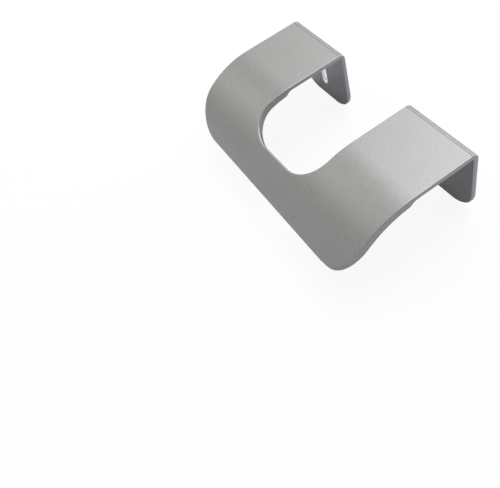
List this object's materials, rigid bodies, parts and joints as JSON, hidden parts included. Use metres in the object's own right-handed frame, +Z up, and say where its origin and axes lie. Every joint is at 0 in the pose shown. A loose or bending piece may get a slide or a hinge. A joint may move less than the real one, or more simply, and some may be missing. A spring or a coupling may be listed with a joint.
{
  "type": "cabinet handle",
  "caption": "Edge-pull cabinet handle bent over a door's edge, with slotted fixing flanges behind, flat legs, an open cut-out and a curved finger lip in front.",
  "frame": {"origin": "midway between the two fixing slots, level with the flange faces that meet the back of the door", "axes": "+X along the handle, -Y out of the door's front, +Z up from the door's top edge"},
  "size_m": [0.09, 0.0504, 0.0276],
  "materials": {
    "handle": "satin"
  },
  "bodies": {
    "root": {"handle": "handle"}
  },
  "joints": []
}
